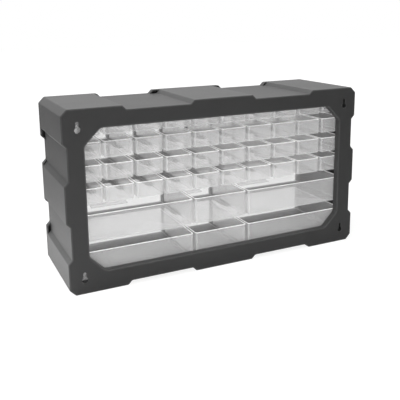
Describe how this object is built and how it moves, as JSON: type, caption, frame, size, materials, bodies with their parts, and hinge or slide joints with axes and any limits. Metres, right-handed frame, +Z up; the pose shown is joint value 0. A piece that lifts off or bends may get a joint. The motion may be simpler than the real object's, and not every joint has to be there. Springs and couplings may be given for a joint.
{
  "type": "parts bin cabinet",
  "caption": "Wall-hung parts cabinet: lugged dark plastic case with an open back, hang slots, and rows of small and large translucent sliding drawers.",
  "frame": {"origin": "centre of the footprint, on the surface that the bottom lugs stand on", "axes": "+X to the right seen from the drawer fronts, +Y from the drawer fronts to the open back, +Z up"},
  "size_m": [0.5, 0.16, 0.27],
  "materials": {
    "case_plastic": "satin dark grey moulded plastic with a fine grain",
    "frame_plastic": "satin dark grey moulded plastic",
    "runner_plastic": "plain dark grey moulded plastic",
    "drawer_plastic": "translucent frosted clear plastic with polished rims"
  },
  "bodies": {
    "cabinet": {"case_shell": "case_plastic", "front_frame": "frame_plastic", "runners_1": "runner_plastic", "runners_2": "runner_plastic", "runners_3": "runner_plastic", "runners_4": "runner_plastic", "runners_5": "runner_plastic", "runners_6": "runner_plastic"},
    "small_drawer_1_1_body": {"small_drawer_1_1": "drawer_plastic"},
    "small_drawer_1_2_body": {"small_drawer_1_2": "drawer_plastic"},
    "small_drawer_1_3_body": {"small_drawer_1_3": "drawer_plastic"},
    "small_drawer_1_4_body": {"small_drawer_1_4": "drawer_plastic"},
    "small_drawer_1_5_body": {"small_drawer_1_5": "drawer_plastic"},
    "small_drawer_1_6_body": {"small_drawer_1_6": "drawer_plastic"},
    "small_drawer_1_7_body": {"small_drawer_1_7": "drawer_plastic"},
    "small_drawer_1_8_body": {"small_drawer_1_8": "drawer_plastic"},
    "small_drawer_1_9_body": {"small_drawer_1_9": "drawer_plastic"},
    "small_drawer_1_10_body": {"small_drawer_1_10": "drawer_plastic"},
    "small_drawer_2_1_body": {"small_drawer_2_1": "drawer_plastic"},
    "small_drawer_2_2_body": {"small_drawer_2_2": "drawer_plastic"},
    "small_drawer_2_3_body": {"small_drawer_2_3": "drawer_plastic"},
    "small_drawer_2_4_body": {"small_drawer_2_4": "drawer_plastic"},
    "small_drawer_2_5_body": {"small_drawer_2_5": "drawer_plastic"},
    "small_drawer_2_6_body": {"small_drawer_2_6": "drawer_plastic"},
    "small_drawer_2_7_body": {"small_drawer_2_7": "drawer_plastic"},
    "small_drawer_2_8_body": {"small_drawer_2_8": "drawer_plastic"},
    "small_drawer_2_9_body": {"small_drawer_2_9": "drawer_plastic"},
    "small_drawer_2_10_body": {"small_drawer_2_10": "drawer_plastic"},
    "small_drawer_3_1_body": {"small_drawer_3_1": "drawer_plastic"},
    "small_drawer_3_2_body": {"small_drawer_3_2": "drawer_plastic"},
    "small_drawer_3_3_body": {"small_drawer_3_3": "drawer_plastic"},
    "small_drawer_3_4_body": {"small_drawer_3_4": "drawer_plastic"},
    "small_drawer_3_5_body": {"small_drawer_3_5": "drawer_plastic"},
    "small_drawer_3_6_body": {"small_drawer_3_6": "drawer_plastic"},
    "small_drawer_3_7_body": {"small_drawer_3_7": "drawer_plastic"},
    "small_drawer_3_8_body": {"small_drawer_3_8": "drawer_plastic"},
    "small_drawer_3_9_body": {"small_drawer_3_9": "drawer_plastic"},
    "small_drawer_3_10_body": {"small_drawer_3_10": "drawer_plastic"},
    "small_drawer_4_1_body": {"small_drawer_4_1": "drawer_plastic"},
    "small_drawer_4_2_body": {"small_drawer_4_2": "drawer_plastic"},
    "small_drawer_4_3_body": {"small_drawer_4_3": "drawer_plastic"},
    "small_drawer_4_4_body": {"small_drawer_4_4": "drawer_plastic"},
    "small_drawer_4_5_body": {"small_drawer_4_5": "drawer_plastic"},
    "small_drawer_4_6_body": {"small_drawer_4_6": "drawer_plastic"},
    "small_drawer_4_7_body": {"small_drawer_4_7": "drawer_plastic"},
    "small_drawer_4_8_body": {"small_drawer_4_8": "drawer_plastic"},
    "small_drawer_4_9_body": {"small_drawer_4_9": "drawer_plastic"},
    "small_drawer_4_10_body": {"small_drawer_4_10": "drawer_plastic"},
    "wide_drawer_left_1_body": {"wide_drawer_left_1": "drawer_plastic"},
    "middle_drawer_1_body": {"middle_drawer_1": "drawer_plastic"},
    "wide_drawer_right_1_body": {"wide_drawer_right_1": "drawer_plastic"},
    "wide_drawer_left_2_body": {"wide_drawer_left_2": "drawer_plastic"},
    "middle_drawer_2_body": {"middle_drawer_2": "drawer_plastic"},
    "wide_drawer_right_2_body": {"wide_drawer_right_2": "drawer_plastic"}
  },
  "joints": [
    {"name": "small_drawer_1_1_slide", "type": "slide", "parent": "cabinet", "child": "small_drawer_1_1_body", "axis": [0, -1, 0], "range_m": [0, 0.11]},
    {"name": "small_drawer_1_2_slide", "type": "slide", "parent": "cabinet", "child": "small_drawer_1_2_body", "axis": [0, -1, 0], "range_m": [0, 0.11]},
    {"name": "small_drawer_1_3_slide", "type": "slide", "parent": "cabinet", "child": "small_drawer_1_3_body", "axis": [0, -1, 0], "range_m": [0, 0.11]},
    {"name": "small_drawer_1_4_slide", "type": "slide", "parent": "cabinet", "child": "small_drawer_1_4_body", "axis": [0, -1, 0], "range_m": [0, 0.11]},
    {"name": "small_drawer_1_5_slide", "type": "slide", "parent": "cabinet", "child": "small_drawer_1_5_body", "axis": [0, -1, 0], "range_m": [0, 0.11]},
    {"name": "small_drawer_1_6_slide", "type": "slide", "parent": "cabinet", "child": "small_drawer_1_6_body", "axis": [0, -1, 0], "range_m": [0, 0.11]},
    {"name": "small_drawer_1_7_slide", "type": "slide", "parent": "cabinet", "child": "small_drawer_1_7_body", "axis": [0, -1, 0], "range_m": [0, 0.11]},
    {"name": "small_drawer_1_8_slide", "type": "slide", "parent": "cabinet", "child": "small_drawer_1_8_body", "axis": [0, -1, 0], "range_m": [0, 0.11]},
    {"name": "small_drawer_1_9_slide", "type": "slide", "parent": "cabinet", "child": "small_drawer_1_9_body", "axis": [0, -1, 0], "range_m": [0, 0.11]},
    {"name": "small_drawer_1_10_slide", "type": "slide", "parent": "cabinet", "child": "small_drawer_1_10_body", "axis": [0, -1, 0], "range_m": [0, 0.11]},
    {"name": "small_drawer_2_1_slide", "type": "slide", "parent": "cabinet", "child": "small_drawer_2_1_body", "axis": [0, -1, 0], "range_m": [0, 0.11]},
    {"name": "small_drawer_2_2_slide", "type": "slide", "parent": "cabinet", "child": "small_drawer_2_2_body", "axis": [0, -1, 0], "range_m": [0, 0.11]},
    {"name": "small_drawer_2_3_slide", "type": "slide", "parent": "cabinet", "child": "small_drawer_2_3_body", "axis": [0, -1, 0], "range_m": [0, 0.11]},
    {"name": "small_drawer_2_4_slide", "type": "slide", "parent": "cabinet", "child": "small_drawer_2_4_body", "axis": [0, -1, 0], "range_m": [0, 0.11]},
    {"name": "small_drawer_2_5_slide", "type": "slide", "parent": "cabinet", "child": "small_drawer_2_5_body", "axis": [0, -1, 0], "range_m": [0, 0.11]},
    {"name": "small_drawer_2_6_slide", "type": "slide", "parent": "cabinet", "child": "small_drawer_2_6_body", "axis": [0, -1, 0], "range_m": [0, 0.11]},
    {"name": "small_drawer_2_7_slide", "type": "slide", "parent": "cabinet", "child": "small_drawer_2_7_body", "axis": [0, -1, 0], "range_m": [0, 0.11]},
    {"name": "small_drawer_2_8_slide", "type": "slide", "parent": "cabinet", "child": "small_drawer_2_8_body", "axis": [0, -1, 0], "range_m": [0, 0.11]},
    {"name": "small_drawer_2_9_slide", "type": "slide", "parent": "cabinet", "child": "small_drawer_2_9_body", "axis": [0, -1, 0], "range_m": [0, 0.11]},
    {"name": "small_drawer_2_10_slide", "type": "slide", "parent": "cabinet", "child": "small_drawer_2_10_body", "axis": [0, -1, 0], "range_m": [0, 0.11]},
    {"name": "small_drawer_3_1_slide", "type": "slide", "parent": "cabinet", "child": "small_drawer_3_1_body", "axis": [0, -1, 0], "range_m": [0, 0.11]},
    {"name": "small_drawer_3_2_slide", "type": "slide", "parent": "cabinet", "child": "small_drawer_3_2_body", "axis": [0, -1, 0], "range_m": [0, 0.11]},
    {"name": "small_drawer_3_3_slide", "type": "slide", "parent": "cabinet", "child": "small_drawer_3_3_body", "axis": [0, -1, 0], "range_m": [0, 0.11]},
    {"name": "small_drawer_3_4_slide", "type": "slide", "parent": "cabinet", "child": "small_drawer_3_4_body", "axis": [0, -1, 0], "range_m": [0, 0.11]},
    {"name": "small_drawer_3_5_slide", "type": "slide", "parent": "cabinet", "child": "small_drawer_3_5_body", "axis": [0, -1, 0], "range_m": [0, 0.11]},
    {"name": "small_drawer_3_6_slide", "type": "slide", "parent": "cabinet", "child": "small_drawer_3_6_body", "axis": [0, -1, 0], "range_m": [0, 0.11]},
    {"name": "small_drawer_3_7_slide", "type": "slide", "parent": "cabinet", "child": "small_drawer_3_7_body", "axis": [0, -1, 0], "range_m": [0, 0.11]},
    {"name": "small_drawer_3_8_slide", "type": "slide", "parent": "cabinet", "child": "small_drawer_3_8_body", "axis": [0, -1, 0], "range_m": [0, 0.11]},
    {"name": "small_drawer_3_9_slide", "type": "slide", "parent": "cabinet", "child": "small_drawer_3_9_body", "axis": [0, -1, 0], "range_m": [0, 0.11]},
    {"name": "small_drawer_3_10_slide", "type": "slide", "parent": "cabinet", "child": "small_drawer_3_10_body", "axis": [0, -1, 0], "range_m": [0, 0.11]},
    {"name": "small_drawer_4_1_slide", "type": "slide", "parent": "cabinet", "child": "small_drawer_4_1_body", "axis": [0, -1, 0], "range_m": [0, 0.11]},
    {"name": "small_drawer_4_2_slide", "type": "slide", "parent": "cabinet", "child": "small_drawer_4_2_body", "axis": [0, -1, 0], "range_m": [0, 0.11]},
    {"name": "small_drawer_4_3_slide", "type": "slide", "parent": "cabinet", "child": "small_drawer_4_3_body", "axis": [0, -1, 0], "range_m": [0, 0.11]},
    {"name": "small_drawer_4_4_slide", "type": "slide", "parent": "cabinet", "child": "small_drawer_4_4_body", "axis": [0, -1, 0], "range_m": [0, 0.11]},
    {"name": "small_drawer_4_5_slide", "type": "slide", "parent": "cabinet", "child": "small_drawer_4_5_body", "axis": [0, -1, 0], "range_m": [0, 0.11]},
    {"name": "small_drawer_4_6_slide", "type": "slide", "parent": "cabinet", "child": "small_drawer_4_6_body", "axis": [0, -1, 0], "range_m": [0, 0.11]},
    {"name": "small_drawer_4_7_slide", "type": "slide", "parent": "cabinet", "child": "small_drawer_4_7_body", "axis": [0, -1, 0], "range_m": [0, 0.11]},
    {"name": "small_drawer_4_8_slide", "type": "slide", "parent": "cabinet", "child": "small_drawer_4_8_body", "axis": [0, -1, 0], "range_m": [0, 0.11]},
    {"name": "small_drawer_4_9_slide", "type": "slide", "parent": "cabinet", "child": "small_drawer_4_9_body", "axis": [0, -1, 0], "range_m": [0, 0.11]},
    {"name": "small_drawer_4_10_slide", "type": "slide", "parent": "cabinet", "child": "small_drawer_4_10_body", "axis": [0, -1, 0], "range_m": [0, 0.11]},
    {"name": "wide_drawer_left_1_slide", "type": "slide", "parent": "cabinet", "child": "wide_drawer_left_1_body", "axis": [0, -1, 0], "range_m": [0, 0.11]},
    {"name": "middle_drawer_1_slide", "type": "slide", "parent": "cabinet", "child": "middle_drawer_1_body", "axis": [0, -1, 0], "range_m": [0, 0.11]},
    {"name": "wide_drawer_right_1_slide", "type": "slide", "parent": "cabinet", "child": "wide_drawer_right_1_body", "axis": [0, -1, 0], "range_m": [0, 0.11]},
    {"name": "wide_drawer_left_2_slide", "type": "slide", "parent": "cabinet", "child": "wide_drawer_left_2_body", "axis": [0, -1, 0], "range_m": [0, 0.11]},
    {"name": "middle_drawer_2_slide", "type": "slide", "parent": "cabinet", "child": "middle_drawer_2_body", "axis": [0, -1, 0], "range_m": [0, 0.11]},
    {"name": "wide_drawer_right_2_slide", "type": "slide", "parent": "cabinet", "child": "wide_drawer_right_2_body", "axis": [0, -1, 0], "range_m": [0, 0.11]}
  ]
}
